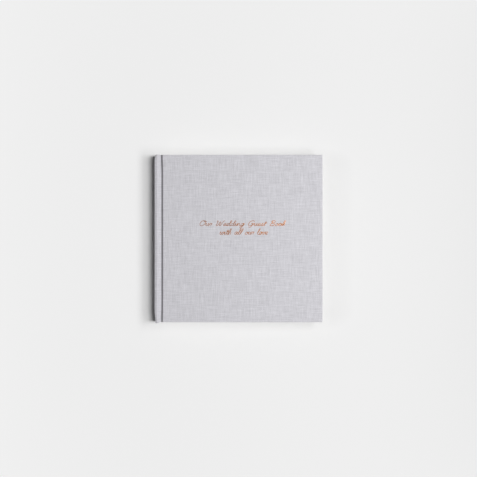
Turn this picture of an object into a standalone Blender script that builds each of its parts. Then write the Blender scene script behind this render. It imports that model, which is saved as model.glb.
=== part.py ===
# A square case-bound guest book, closed, lying on its back cover.
#
# Frame: metres, +Z up, +Y to the head of the book, +X to its fore-edge, the spine along -X.
# The origin is under the middle of the book, on the plane that it lies on.
#
# The book opens flat. Its spine turns about the back hinge line, the front cover and the front half
# of the pages turn about the front hinge line, and each hinge line is a line along Y.

import bmesh
import bpy
from mathutils import Matrix, Vector

MM = 0.001

# The case
CASE_WIDTH = 223.0 * MM
CASE_HEIGHT = 222.0 * MM
BOARD_THICKNESS = 2.5 * MM
SPINE_BOARD_THICKNESS = 1.8 * MM
CLOTH_THICKNESS = 0.4 * MM
TURN_IN = 15.0 * MM
GROOVE_REACH = 11.0 * MM  # from the outer face of the spine to the edge of a cover board
EDGE_ROUNDING = 0.35 * MM
SPINE_WINDOW_FROM_FACE = 1.0 * MM  # where the spine's turn-ins start, from its outer face
PASTEDOWN_FROM_SPINE = 8.3 * MM  # from the outer face of the spine, past the joint
CUT_MARGIN = 5.0 * MM  # how far a cutter reaches past what it cuts

# The cloth in a groove: distance from the spine's outer face, and depth below the cover's outer face
GROOVE_SHOULDER = (4.8 * MM, 0.9 * MM)
GROOVE_FLOOR_START = (7.7 * MM, 2.9 * MM)
GROOVE_FLOOR_END = (10.12 * MM, 3.0 * MM)
GROOVE_RISE = (10.55 * MM, 2.5 * MM)

# The pages
LEAF = 0.2 * MM
PAGE_HEIGHT = 216.0 * MM
FORE_EDGE_SQUARE = 3.0 * MM  # how far the boards reach past the pages
SECTION_COUNT = 10
SECTION_THICKNESS = 1.65 * MM  # four folded sheets, eight leaves
SECTION_PITCH = 1.8 * MM
FOLD_ROUNDING = 0.55 * MM

# Spaces between neighbours
GLUE = 0.1 * MM
CLOTH_START = 0.15 * MM  # how far the cover's cloth starts before its board
HINGE_CLEARANCE = 0.05 * MM

# The spine of the sewn pages
FOLD_FROM_SPINE = 4.1 * MM  # outer face of the spine to the folds of the sections
LINING_FROM_SPINE = 2.9 * MM
LINING_THICKNESS = 0.22 * MM
LINING_HEIGHT = 214.0 * MM
MULL_FROM_SPINE = 3.2 * MM
MULL_THICKNESS = 0.22 * MM
MULL_HEIGHT = 200.0 * MM
TAPE_FROM_SPINE = 3.5 * MM
TAPE_THICKNESS = 0.3 * MM
TAPE_WIDTH = 12.0 * MM
TAPE_SPACING = 56.0 * MM
TAPE_COUNT = 3
KETTLE_INSET = 12.0 * MM
KETTLE_RADIUS = 0.15 * MM
KETTLE_SWING = 1.1 * MM
BAND_RADIUS = 0.9 * MM
BAND_FROM_SPINE = 4.9 * MM
BAND_END_GAP = 0.4 * MM

# The stamped lines on the front cover: width, height and centre of each
FOIL_THICKNESS = 0.1 * MM
FOIL_GAP = 0.05 * MM
FOIL_LINES = {
    "foil_line_upper": {"size": (114.0 * MM, 10.5 * MM), "centre": (5.5 * MM, 18.8 * MM)},
    "foil_line_lower": {"size": (64.0 * MM, 8.4 * MM), "centre": (7.0 * MM, 9.2 * MM)},
}

# Worked out from the sizes above
SPINE_X = -CASE_WIDTH / 2
FORE_X = CASE_WIDTH / 2
BOARD_X = SPINE_X + GROOVE_REACH
FOLD_X = SPINE_X + FOLD_FROM_SPINE
PAGE_X = FORE_X - FORE_EDGE_SQUARE
BOARD_Z = CLOTH_THICKNESS + GLUE
TURN_IN_Z = BOARD_Z + BOARD_THICKNESS + GLUE
PASTEDOWN_Z = TURN_IN_Z + CLOTH_THICKNESS + GLUE
COVER_THICKNESS = PASTEDOWN_Z + LEAF
FLYLEAF_Z = COVER_THICKNESS + GLUE
SECTIONS_Z = FLYLEAF_Z + LEAF + GLUE
SECTIONS_THICKNESS = (SECTION_COUNT - 1) * SECTION_PITCH + SECTION_THICKNESS
CASE_THICKNESS = 2 * SECTIONS_Z + SECTIONS_THICKNESS
HINGE_Z = COVER_THICKNESS + HINGE_CLEARANCE
HINGE_X = SPINE_X + HINGE_Z  # the opened spine then lies flat on the table

LINEN = ("linen_cloth", (0.63, 0.62, 0.65), 0.85, 0.0)
BOARD = ("grey_board", (0.42, 0.40, 0.37), 0.90, 0.0)
PAPER = ("page_paper", (0.90, 0.89, 0.85), 0.75, 0.0)
ENDPAPER = ("end_paper", (0.88, 0.86, 0.82), 0.75, 0.0)
TAPE = ("cotton_tape", (0.86, 0.83, 0.76), 0.90, 0.0)
THREAD = ("linen_thread", (0.88, 0.86, 0.80), 0.80, 0.0)
BAND = ("silk_band", (0.80, 0.78, 0.79), 0.60, 0.0)
FOIL = ("copper_foil", (0.72, 0.42, 0.28), 0.30, 1.0)


def clear_scene():
    for old in list(bpy.data.objects):
        bpy.data.objects.remove(old, do_unlink=True)


def make_collection(name):
    collection = bpy.data.collections.new(name)
    bpy.context.scene.collection.children.link(collection)
    return collection


def make_material(name, colour, roughness, metallic):
    material = bpy.data.materials.get(name)
    if material is None:
        material = bpy.data.materials.new(name)
        material.use_nodes = True
        shader = material.node_tree.nodes["Principled BSDF"]
        shader.inputs["Base Color"].default_value = (*colour, 1.0)
        shader.inputs["Roughness"].default_value = roughness
        shader.inputs["Metallic"].default_value = metallic
    return material


def make_pivot(name, parent, x, z):
    # An empty on a hinge line; the pieces that turn about that line are its children.
    pivot = bpy.data.objects.new(name, None)
    pivot.empty_display_size = 10 * MM
    book.objects.link(pivot)
    if parent is not None:
        pivot.parent = parent
        pivot.location = Vector((x, 0, z)) - world_place(parent)
    else:
        pivot.location = (x, 0, z)
    return pivot


def world_place(pivot):
    place = Vector((0, 0, 0))
    while pivot is not None:
        place += pivot.location
        pivot = pivot.parent
    return place


def put(name, data, finish, pivot, place):
    piece = bpy.data.objects.new(name, data)
    book.objects.link(piece)
    piece.parent = pivot
    piece.location = Vector(place) - world_place(pivot)
    data.materials.append(make_material(*finish))
    return piece


def mesh_of(bm, name):
    mesh = bpy.data.meshes.new(name)
    bmesh.ops.recalc_face_normals(bm, faces=bm.faces)
    bm.to_mesh(mesh)
    bm.free()
    return mesh


def box_mesh(name, size, rounding=0.0, segments=2, edge_filter=None):
    # A box about its own origin. The edges that edge_filter picks are rounded, or all of them.
    bm = bmesh.new()
    bmesh.ops.create_cube(bm, size=1.0, matrix=Matrix.Diagonal((*size, 1.0)))
    if rounding:
        edges = [e for e in bm.edges if edge_filter is None or edge_filter(e)]
        bmesh.ops.bevel(
            bm, geom=edges, offset=rounding, segments=segments, profile=0.5, affect="EDGES"
        )
    return mesh_of(bm, name)


def box(name, low, high, finish, pivot, **shape):
    low = Vector(low)
    high = Vector(high)
    return put(name, box_mesh(name, high - low, **shape), finish, pivot, (low + high) / 2)


def cut(piece, label, low, high):
    # Takes the box from low to high out of a piece.
    low = Vector(low)
    high = Vector(high)
    cutter_name = f"{piece.name}_{label}_cutter"
    cutter = bpy.data.objects.new(cutter_name, box_mesh(cutter_name, high - low))
    cutters.objects.link(cutter)
    cutter.location = (low + high) / 2
    cutter.hide_render = True
    cutter.display_type = "WIRE"
    boolean = piece.modifiers.new(label, "BOOLEAN")
    boolean.operation = "DIFFERENCE"
    boolean.solver = "EXACT"
    boolean.object = cutter


def flip(z_low, z_high, top):
    # Heights above the back cover's outer face, or the same depths below the front cover's.
    if top:
        return CASE_THICKNESS - z_high, CASE_THICKNESS - z_low
    return z_low, z_high


def along_fold(edge):
    # The two long edges of a section on its folded side.
    return all(v.co.x < 0 for v in edge.verts) and abs(edge.verts[0].co.y - edge.verts[1].co.y) > 0.01


def upright(edge):
    return abs(edge.verts[0].co.z - edge.verts[1].co.z) > 0.5 * FOIL_THICKNESS


def cover(side, pivot, top):
    half = CASE_HEIGHT / 2
    edge = CLOTH_THICKNESS + GLUE
    z_low, z_high = flip(BOARD_Z, BOARD_Z + BOARD_THICKNESS, top)
    box(
        f"{side}_board",
        (BOARD_X, -half + edge, z_low),
        (FORE_X - edge, half - edge, z_high),
        BOARD,
        pivot,
    )

    # The cloth goes over the outer face and round three edges, and ends in turn-ins inside.
    z_low, z_high = flip(0, TURN_IN_Z + CLOTH_THICKNESS, top)
    cloth = box(
        f"{side}_cloth",
        (BOARD_X - CLOTH_START, -half, z_low),
        (FORE_X, half, z_high),
        LINEN,
        pivot,
        rounding=EDGE_ROUNDING,
        edge_filter=lambda e: all(v.co.x > 0 for v in e.verts) or along_case(e, top),
    )
    z_low, z_high = flip(CLOTH_THICKNESS, TURN_IN_Z, top)
    cut(
        cloth,
        "board",
        (BOARD_X - CUT_MARGIN, -half + CLOTH_THICKNESS, z_low),
        (FORE_X - CLOTH_THICKNESS, half - CLOTH_THICKNESS, z_high),
    )
    z_low, z_high = flip(TURN_IN_Z - GLUE, TURN_IN_Z + CUT_MARGIN, top)
    cut(
        cloth,
        "window",
        (BOARD_X - CUT_MARGIN, -half + TURN_IN, z_low),
        (FORE_X - TURN_IN, half - TURN_IN, z_high),
    )

    z_low, z_high = flip(PASTEDOWN_Z, PASTEDOWN_Z + LEAF, top)
    box(
        f"{side}_pastedown",
        (SPINE_X + PASTEDOWN_FROM_SPINE, -PAGE_HEIGHT / 2, z_low),
        (PAGE_X, PAGE_HEIGHT / 2, z_high),
        ENDPAPER,
        pivot,
    )


def along_case(edge, top):
    # The two long edges at head and tail on the outer face of a cover.
    outer = all((v.co.z > 0) == top for v in edge.verts)
    return outer and abs(edge.verts[0].co.x - edge.verts[1].co.x) > 0.01


def spine_case(pivot):
    half = CASE_HEIGHT / 2
    edge = CLOTH_THICKNESS + GLUE
    board_back = SPINE_X + edge + SPINE_BOARD_THICKNESS
    box(
        "spine_board",
        (SPINE_X + edge, -half + edge, edge),
        (board_back, half - edge, CASE_THICKNESS - edge),
        BOARD,
        pivot,
    )
    cloth_back = board_back + GLUE + CLOTH_THICKNESS
    cloth = box(
        "spine_cloth",
        (SPINE_X, -half, 0),
        (cloth_back, half, CASE_THICKNESS),
        LINEN,
        pivot,
        rounding=EDGE_ROUNDING,
        edge_filter=lambda e: all(v.co.x < 0 for v in e.verts),
    )
    cut(
        cloth,
        "board",
        (SPINE_X + CLOTH_THICKNESS, -half + CLOTH_THICKNESS, CLOTH_THICKNESS),
        (board_back + GLUE, half - CLOTH_THICKNESS, CASE_THICKNESS - CLOTH_THICKNESS),
    )
    cut(
        cloth,
        "window",
        (SPINE_X + SPINE_WINDOW_FROM_FACE, -half + TURN_IN, CLOTH_THICKNESS),
        (cloth_back + CUT_MARGIN, half - TURN_IN, CASE_THICKNESS - CLOTH_THICKNESS),
    )
    joint_cloth("front", pivot, cloth_back, top=True)
    joint_cloth("back", pivot, cloth_back, top=False)


def joint_cloth(side, pivot, ridge_end, top):
    # The cloth between spine and cover: down from the ridge, along the groove, up the board's edge.
    skin = CLOTH_THICKNESS / 2 + GLUE
    profile = (
        (ridge_end - SPINE_X + skin, skin),
        GROOVE_SHOULDER,
        GROOVE_FLOOR_START,
        GROOVE_FLOOR_END,
        GROOVE_RISE,
        (GROOVE_RISE[0], skin),
    )
    half = CASE_HEIGHT / 2 - CLOTH_THICKNESS / 2
    bm = bmesh.new()
    row = []
    for away, depth in profile:
        z = CASE_THICKNESS - depth if top else depth
        row.append(bm.verts.new((SPINE_X + away - HINGE_X, -half, z)))
    edges = [bm.edges.new(pair) for pair in zip(row, row[1:])]
    swept = bmesh.ops.extrude_edge_only(bm, edges=edges)
    moved = [g for g in swept["geom"] if isinstance(g, bmesh.types.BMVert)]
    bmesh.ops.translate(bm, verts=moved, vec=(0, 2 * half, 0))
    name = f"{side}_joint_cloth"
    piece = put(name, mesh_of(bm, name), LINEN, pivot, (HINGE_X, 0, 0))
    thickness = piece.modifiers.new("thickness", "SOLIDIFY")
    thickness.thickness = CLOTH_THICKNESS
    thickness.offset = 0.0
    thickness.use_even_offset = True


def leaf(name, pivot, top):
    z_low, z_high = flip(FLYLEAF_Z, FLYLEAF_Z + LEAF, top)
    half = PAGE_HEIGHT / 2
    box(name, (FOLD_X, -half, z_low), (PAGE_X, half, z_high), ENDPAPER, pivot)


def section(number, pivot):
    # Sections are counted from the front of the book, so the first one is the topmost.
    z_low = SECTIONS_Z + (SECTION_COUNT - number) * SECTION_PITCH
    half = PAGE_HEIGHT / 2
    box(
        f"section_{number:02d}",
        (FOLD_X, -half, z_low),
        (PAGE_X, half, z_low + SECTION_THICKNESS),
        PAPER,
        pivot,
        rounding=FOLD_ROUNDING,
        segments=3,
        edge_filter=along_fold,
    )


def spine_linings(pivot):
    low = HINGE_Z + GLUE
    high = CASE_THICKNESS - low
    layers = (
        ("spine_lining", LINING_FROM_SPINE, LINING_THICKNESS, LINING_HEIGHT, 0.0, PAPER),
        ("mull", MULL_FROM_SPINE, MULL_THICKNESS, MULL_HEIGHT, 0.0, TAPE),
        *(
            (
                f"sewing_tape_{i + 1}",
                TAPE_FROM_SPINE,
                TAPE_THICKNESS,
                TAPE_WIDTH,
                ((TAPE_COUNT - 1) / 2 - i) * TAPE_SPACING,
                TAPE,
            )
            for i in range(TAPE_COUNT)
        ),
    )
    for name, away, thickness, height, y, finish in layers:
        x = SPINE_X + away
        box(name, (x, y - height / 2, low), (x + thickness, y + height / 2, high), finish, pivot)


def rod(name, points, radius, finish, pivot):
    # A round cord through the given points, with closed ends.
    start = Vector(points[0])
    curve = bpy.data.curves.new(name, "CURVE")
    curve.dimensions = "3D"
    curve.bevel_depth = radius
    curve.bevel_resolution = 2
    curve.use_fill_caps = True
    spline = curve.splines.new("POLY")
    spline.points.add(len(points) - 1)
    for point, place in zip(spline.points, points):
        point.co = (*(Vector(place) - start), 1.0)
    return put(name, curve, finish, pivot, start)


def kettle_thread(end, sign, pivot):
    # The thread that links the sections at head and tail, swinging from fold to fold.
    x = SPINE_X + TAPE_FROM_SPINE + KETTLE_RADIUS
    y = sign * (PAGE_HEIGHT / 2 - KETTLE_INSET)
    points = []
    for i in range(2 * SECTION_COUNT + 1):
        swing = KETTLE_SWING / 2 * (-1) ** i
        z = SECTIONS_Z + i * SECTIONS_THICKNESS / (2 * SECTION_COUNT)
        points.append((x, y + swing, z))
    rod(f"kettle_thread_{end}", points, KETTLE_RADIUS, THREAD, pivot)


def end_band(name, sign, pivot):
    # The woven bead at the head or tail of the spine.
    x = SPINE_X + BAND_FROM_SPINE
    y = sign * (PAGE_HEIGHT / 2 + GLUE + BAND_RADIUS)
    low = HINGE_Z + BAND_END_GAP
    steps = 6
    span = CASE_THICKNESS - 2 * low
    points = [(x, y, low + span * i / steps) for i in range(steps + 1)]
    rod(name, points, BAND_RADIUS, BAND, pivot)


def foil_line(name, size, centre, pivot):
    z = CASE_THICKNESS + FOIL_GAP
    x, y = centre
    width, height = size
    box(
        name,
        (x - width / 2, y - height / 2, z),
        (x + width / 2, y + height / 2, z + FOIL_THICKNESS),
        FOIL,
        pivot,
        rounding=0.49 * height,
        segments=6,
        edge_filter=upright,
    )


clear_scene()
book = make_collection("guest_book")
cutters = make_collection("cutters")

back_cover = make_pivot("back_cover_root", None, 0, 0)
spine = make_pivot("spine_pivot", back_cover, HINGE_X, HINGE_Z)
front_cover = make_pivot("front_cover_pivot", spine, HINGE_X, CASE_THICKNESS - HINGE_Z)

cover("back", back_cover, top=False)
cover("front", front_cover, top=True)
spine_case(spine)
spine_linings(spine)
kettle_thread("head", 1, spine)
kettle_thread("tail", -1, spine)
end_band("headband", 1, spine)
end_band("tailband", -1, spine)

for side, top in (("back", False), ("front", True)):
    z = CASE_THICKNESS - HINGE_Z if top else HINGE_Z
    leaf(f"{side}_flyleaf", make_pivot(f"{side}_flyleaf_pivot", spine, HINGE_X, z), top)

for number in range(1, SECTION_COUNT + 1):
    in_front_half = number <= SECTION_COUNT // 2
    z = CASE_THICKNESS - HINGE_Z if in_front_half else HINGE_Z
    section(number, make_pivot(f"section_{number:02d}_pivot", spine, HINGE_X, z))

for name, line in FOIL_LINES.items():
    foil_line(name, line["size"], line["centre"], front_cover)
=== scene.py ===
import math
import random

import bmesh
import bpy
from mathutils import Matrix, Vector, noise


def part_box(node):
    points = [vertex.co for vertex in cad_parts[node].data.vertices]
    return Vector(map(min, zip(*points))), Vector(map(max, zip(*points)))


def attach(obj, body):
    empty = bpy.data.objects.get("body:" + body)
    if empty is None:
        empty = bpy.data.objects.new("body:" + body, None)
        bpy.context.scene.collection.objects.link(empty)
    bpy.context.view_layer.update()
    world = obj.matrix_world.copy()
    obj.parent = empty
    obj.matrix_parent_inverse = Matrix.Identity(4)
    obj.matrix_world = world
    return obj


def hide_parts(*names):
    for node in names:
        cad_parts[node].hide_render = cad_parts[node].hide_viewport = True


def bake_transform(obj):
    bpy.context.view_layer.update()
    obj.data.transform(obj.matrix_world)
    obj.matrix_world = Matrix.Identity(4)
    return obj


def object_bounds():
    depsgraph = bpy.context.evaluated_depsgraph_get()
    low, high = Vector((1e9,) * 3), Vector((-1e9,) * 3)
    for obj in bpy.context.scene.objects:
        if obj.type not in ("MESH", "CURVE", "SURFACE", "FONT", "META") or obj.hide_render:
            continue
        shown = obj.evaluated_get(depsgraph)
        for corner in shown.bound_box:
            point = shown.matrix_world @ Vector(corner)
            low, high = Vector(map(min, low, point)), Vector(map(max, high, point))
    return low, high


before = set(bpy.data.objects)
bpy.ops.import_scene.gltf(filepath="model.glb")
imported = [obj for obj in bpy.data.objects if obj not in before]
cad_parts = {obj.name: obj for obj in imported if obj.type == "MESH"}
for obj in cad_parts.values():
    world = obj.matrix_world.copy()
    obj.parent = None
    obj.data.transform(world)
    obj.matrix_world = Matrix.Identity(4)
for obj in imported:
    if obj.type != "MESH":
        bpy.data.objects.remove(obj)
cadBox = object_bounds()

mm = 0.001
bpy.context.scene.view_settings.view_transform = "Standard"

# places that every piece is worked out from
spineLow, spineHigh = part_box("spine_cloth")
coverLow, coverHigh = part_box("front_cloth")
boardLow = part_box("front_board")[0]
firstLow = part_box("section_01")[0]

case = {
    "spineX": spineLow.x,
    "foreX": coverHigh.x,
    "headY": spineHigh.y,
    "top": spineHigh.z,
    "boardX": boardLow.x,
    "coverDepth": coverHigh.z - coverLow.z,  # outer face to the inner face of a turn-in
    "foldX": firstLow.x,
}
print("frame read, case", [round(s / mm, 1) for s in (case["foreX"] - case["spineX"], case["top"])])


def setMode(mode):
    bpy.ops.object.mode_set(mode=mode)


def deselectAll():
    if bpy.context.object and bpy.context.object.mode != "OBJECT":
        setMode("OBJECT")
    bpy.ops.object.select_all(action="DESELECT")


def makeActive(piece):
    deselectAll()
    piece.select_set(True)
    bpy.context.view_layer.objects.active = piece


def pick(piece, kind, test):
    # in edit mode: selects the verts, edges or faces whose middle passes the test
    mesh = bmesh.from_edit_mesh(piece.data)
    bpy.context.tool_settings.mesh_select_mode = (kind == "VERT", kind == "EDGE", kind == "FACE")
    mesh.select_mode = {kind}
    for item in (*mesh.verts, *mesh.edges, *mesh.faces):
        item.select = False
    for item in {"VERT": mesh.verts, "EDGE": mesh.edges, "FACE": mesh.faces}[kind]:
        if kind == "VERT":
            middle = item.co
        else:
            middle = sum((v.co for v in item.verts), Vector()) / len(item.verts)
        item.select_set(test(middle, item))
    mesh.select_flush_mode()
    bmesh.update_edit_mesh(piece.data)


def isAt(a, b, off=0.01 * mm):
    return abs(a - b) < off


def applyPlace(piece):
    makeActive(piece)
    bpy.ops.object.transform_apply(location=True, rotation=True, scale=True)


def applyModifiers(piece):
    makeActive(piece)
    for modifier in list(piece.modifiers):
        bpy.ops.object.modifier_apply(modifier=modifier.name)


def addBox(low, high):
    deselectAll()
    bpy.ops.mesh.primitive_cube_add(size=1, location=(low + high) / 2)
    made = bpy.context.object
    made.scale = high - low
    applyPlace(made)
    return made


def bisectAt(piece, axis, *places):
    # in edit mode: cuts right across the piece, square to an axis
    normal = [float(k == axis) for k in range(3)]
    for place in places:
        pick(piece, "FACE", lambda middle, item: True)
        bpy.ops.mesh.bisect(plane_co=[place * n for n in normal], plane_no=normal)


def softenEdges(piece, width):
    soft = piece.modifiers.new("softEdge", "BEVEL")
    soft.width = width
    soft.segments = 2
    applyModifiers(piece)


def addObject(name, data):
    made = bpy.data.objects.new(name, data)
    bpy.context.scene.collection.objects.link(made)
    return made


def finishPiece(piece, name, material, smoothAngle=40):
    piece.name = name
    piece.data.name = name
    piece.data.materials.clear()
    piece.data.materials.append(material)
    makeActive(piece)
    bpy.ops.object.shade_smooth_by_angle(angle=math.radians(smoothAngle))
    return piece


def addNode(tree, kind, inputs=None, **settings):
    made = tree.nodes.new("ShaderNode" + kind)
    for key, value in settings.items():
        setattr(made, key, value)
    for key, value in (inputs or {}).items():
        socket = made.inputs[key]
        if isinstance(value, bpy.types.NodeSocket):
            tree.links.new(value, socket)
        else:
            socket.default_value = value
    return made


def math1(tree, operation, a, b=0.0, c=0.0):
    return addNode(tree, "Math", {0: a, 1: b, 2: c}, operation=operation).outputs[0]


def times(tree, a, b):
    return math1(tree, "MULTIPLY", a, b)


def mixColours(tree, factor, a, b, blend="MIX"):
    made = addNode(tree, "Mix", data_type="RGBA", blend_type=blend)
    for index, value in ((0, factor), (6, a), (7, b)):
        if isinstance(value, bpy.types.NodeSocket):
            tree.links.new(value, made.inputs[index])
        else:
            made.inputs[index].default_value = value if index == 0 else (*value, 1.0)
    return made.outputs[2]


def remap(tree, value, fromLow, fromHigh, toLow=0.0, toHigh=1.0):
    made = addNode(tree, "MapRange", {0: value, 1: fromLow, 2: fromHigh, 3: toLow, 4: toHigh})
    return made.outputs[0]


def objectPlace(tree):
    return addNode(tree, "TexCoord").outputs["Object"]


def partsOf(tree, vector):
    return addNode(tree, "SeparateXYZ", {0: vector}).outputs


def addNoise(tree, vector, scale, detail, more=None):
    inputs = {"Vector": vector, "Scale": scale, "Detail": detail, **(more or {})}
    return addNode(tree, "TexNoise", inputs).outputs


def addCombined(tree, x, y, z):
    return addNode(tree, "CombineXYZ", {0: x, 1: y, 2: z}).outputs[0]


def shadeBy(tree, base, factor):
    return mixColours(tree, 1.0, base, addCombined(tree, factor, factor, factor), "MULTIPLY")


def addBump(tree, shader, height, distance, strength):
    bump = addNode(tree, "Bump", {"Height": height, "Distance": distance, "Strength": strength})
    tree.links.new(bump.outputs[0], shader.inputs["Normal"])


def newMaterial(name, roughness=0.8, metallic=0.0):
    material = bpy.data.materials.new(name)
    material.use_nodes = True
    tree = material.node_tree
    shader = tree.nodes["Principled BSDF"]
    shader.inputs["Roughness"].default_value = roughness
    shader.inputs["Metallic"].default_value = metallic
    return material, tree, shader


def newGroup(name, inputs, outputs):
    tree = bpy.data.node_groups.new(name, "ShaderNodeTree")
    for label, kind, default in inputs:
        socket = tree.interface.new_socket(name=label, in_out="INPUT", socket_type=kind)
        if default is not None:
            socket.default_value = default
    for label, kind in outputs:
        tree.interface.new_socket(name=label, in_out="OUTPUT", socket_type=kind)
    return tree, tree.nodes.new("NodeGroupInput").outputs, tree.nodes.new("NodeGroupOutput").inputs


def useGroup(tree, group, inputs):
    made = tree.nodes.new("ShaderNodeGroup")
    made.node_tree = group
    for key, value in inputs.items():
        if isinstance(value, bpy.types.NodeSocket):
            tree.links.new(value, made.inputs[key])
        else:
            made.inputs[key].default_value = value
    return made.outputs


# shared by the cloth, tapes, gauze, thread and foil
weaveShape = {
    "drift": 85.0,  # how fast the yarns wander, per metre
    "driftYarns": 8.0,
    "crossing": (0.45, 0.55),  # what a yarn rises on top of a crossing, and its height beside it
    "yarnStep": 5.37,
    "yarnLength": 55.0,
    "yarnSeeds": (3.1, 17.7),
    # thick places in the yarn: scale along X and Y, and a seed
    "streaks": ((800.0, 56.0, 5.0), (60.0, 860.0, 11.0)),
}


def makeWeaveGroup():
    # plain weave of uneven yarns; Vector is in metres, X across the warp and Y across the weft
    shape = weaveShape
    tree, given, result = newGroup(
        "plainWeave",
        [("Vector", "NodeSocketVector", None), ("Yarn", "NodeSocketFloat", 0.0005),
         ("Wander", "NodeSocketFloat", 0.5)],
        [("Height", "NodeSocketFloat"), ("Tone", "NodeSocketFloat"), ("Slub", "NodeSocketFloat")],
    )
    place = partsOf(tree, given["Vector"])
    drift = addNoise(tree, given["Vector"], shape["drift"], 2.0)["Color"]
    driftParts = partsOf(tree, drift)
    across = []
    for axis in (0, 1):
        steps = math1(tree, "DIVIDE", place[axis], given["Yarn"])
        bend = times(tree, math1(tree, "SUBTRACT", driftParts[axis], 0.5), given["Wander"])
        across.append(math1(tree, "MULTIPLY_ADD", bend, shape["driftYarns"], steps))
    index = [math1(tree, "FLOOR", a) for a in across]
    # yarn height across its own width
    crown = []
    for axis in (0, 1):
        off = math1(tree, "SUBTRACT", math1(tree, "FRACT", across[axis]), 0.5)
        crown.append(math1(tree, "COSINE", times(tree, off, math.pi)))
    weftShown = math1(tree, "FLOORED_MODULO", math1(tree, "ADD", index[0], index[1]), 2.0)
    warpShown = math1(tree, "SUBTRACT", 1.0, weftShown)

    def chooseYarn(warp, weft):
        return math1(tree, "ADD", times(tree, warp, warpShown), times(tree, weft, weftShown))

    warpUp = times(tree, crown[0], math1(tree, "MULTIPLY_ADD", crown[1], *shape["crossing"]))
    weftUp = times(tree, crown[1], math1(tree, "MULTIPLY_ADD", crown[0], *shape["crossing"]))
    height = chooseYarn(warpUp, weftUp)
    # each yarn runs through the noise on a line of its own
    yarnTone = []
    for axis, seed in enumerate(shape["yarnSeeds"]):
        line = addCombined(tree, times(tree, index[axis], shape["yarnStep"]),
                           times(tree, place[1 - axis], shape["yarnLength"]), seed)
        yarnTone.append(addNoise(tree, line, 1.0, 2.0, {"Roughness": 0.6})["Fac"])
    tone = chooseYarn(*yarnTone)
    streaks = []
    for scaleX, scaleY, seed in shape["streaks"]:
        line = addCombined(tree, times(tree, place[0], scaleX),
                           times(tree, place[1], scaleY), seed)
        streaks.append(addNoise(tree, line, 1.0, 1.5)["Fac"])
    slub = times(tree, math1(tree, "ADD", streaks[0], streaks[1]), 0.5)
    tree.links.new(times(tree, height, remap(tree, tone, 0.2, 0.8, 0.75, 1.1)), result["Height"])
    tree.links.new(tone, result["Tone"])
    tree.links.new(slub, result["Slub"])
    return tree


def makeFibreGroup():
    # fine cloudy fibre of paper and board; Vector in metres
    tree, given, result = newGroup(
        "paperFibre",
        [("Vector", "NodeSocketVector", None), ("Fineness", "NodeSocketFloat", 1.0)],
        [("Height", "NodeSocketFloat"), ("Cloud", "NodeSocketFloat"), ("Fleck", "NodeSocketFloat")],
    )
    scaled = {0: given["Vector"], "Scale": given["Fineness"]}
    place = addNode(tree, "VectorMath", scaled, operation="SCALE").outputs[0]
    fine = addNoise(tree, place, 2600.0, 3.0)["Fac"]
    cloud = addNoise(tree, place, 110.0, 3.0)["Fac"]
    grain = addNoise(tree, place, 700.0, 4.0, {"Distortion": 1.2})["Fac"]
    height = math1(tree, "ADD", times(tree, fine, 0.5), times(tree, grain, 0.5))
    tree.links.new(height, result["Height"])
    tree.links.new(cloud, result["Cloud"])
    tree.links.new(remap(tree, grain, 0.60, 0.72), result["Fleck"])
    return tree


plainWeave = makeWeaveGroup()
paperFibre = makeFibreGroup()

linenLook = {
    "groove": [case["top"] / 2 + k * mm for k in (7.6, 8.9, 12.6, 13.6)],  # along the cloth from the seam
    "yarn": 0.52 * mm,
    "wander": 0.35,
    "shadow": (0.413, 0.407, 0.432),
    "body": (0.571, 0.564, 0.597),
    "bright": (0.659, 0.652, 0.689),
    "brightShare": 0.55,
    "streak": (0.36, 0.64, 0.90, 1.095),  # slub range, and how dark and light it makes the cloth
    "pressedAndShade": 0.70,  # how dark the groove's cloth is made: partly the darker tone of cloth pressed by the hot iron, partly painted shade deep in the groove
    "slubLift": 0.9,
    "bumpHeight": 0.16 * mm,
    "bumpStrength": 0.75,
    "roughness": (0.92, 0.80),
    "sheen": (0.08, 0.5),  # weight and roughness
    "gloss": 0.25,
}


def makeLinen(name, look):
    # book cloth: uneven linen yarns, pale in the crowns and dark between them
    material, tree, shader = newMaterial(name)
    where = addNode(tree, "TexCoord").outputs["UV"]
    weave = useGroup(tree, plainWeave, {"Vector": where, "Yarn": look["yarn"], "Wander": look["wander"]})
    crowns = remap(tree, weave["Height"], 0.15, 0.75)
    base = mixColours(tree, crowns, look["shadow"], look["body"])
    yarns = remap(tree, weave["Tone"], 0.42, 0.72)
    base = mixColours(tree, times(tree, yarns, look["brightShare"]), base, look["bright"])
    streak = remap(tree, weave["Slub"], *look["streak"])
    across = partsOf(tree, where)[0]
    edges = []
    for start, end in (look["groove"][:2], look["groove"][2:]):
        edge = addNode(tree, "MapRange", {0: across, 1: start, 2: end}, interpolation_type="SMOOTHSTEP")
        edges.append(edge.outputs[0])
    # painted shade: the groove band is darkened, on top of the pressed cloth's own darker tone
    pressedAndShade = math1(tree, "SUBTRACT", edges[0], edges[1])
    streak = times(tree, streak, math1(tree, "MULTIPLY_ADD", pressedAndShade, look["pressedAndShade"] - 1, 1.0))
    tree.links.new(shadeBy(tree, base, streak), shader.inputs["Base Color"])
    lift = math1(tree, "MULTIPLY_ADD", weave["Slub"], look["slubLift"], weave["Height"])
    addBump(tree, shader, lift, look["bumpHeight"], look["bumpStrength"])
    tree.links.new(remap(tree, weave["Tone"], 0.3, 0.7, *look["roughness"]), shader.inputs["Roughness"])
    for key, value in zip(("Sheen Weight", "Sheen Roughness"), look["sheen"]):
        shader.inputs[key].default_value = value
    shader.inputs["Specular IOR Level"].default_value = look["gloss"]
    return material


paperLook = {
    "darker": 0.93,
    "fleck": 0.78,
    "fleckShare": 0.10,
    "bumpHeight": 0.03 * mm,
    "bumpStrength": 0.5,
    "roughSpread": 0.06,
    "gloss": 0.3,
    "dust": (0.64, 0.59, 0.52),
    "dustShare": (0.03, 0.26),
    "striae": 5200.0,  # per metre of height, on cut edges
}


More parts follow.
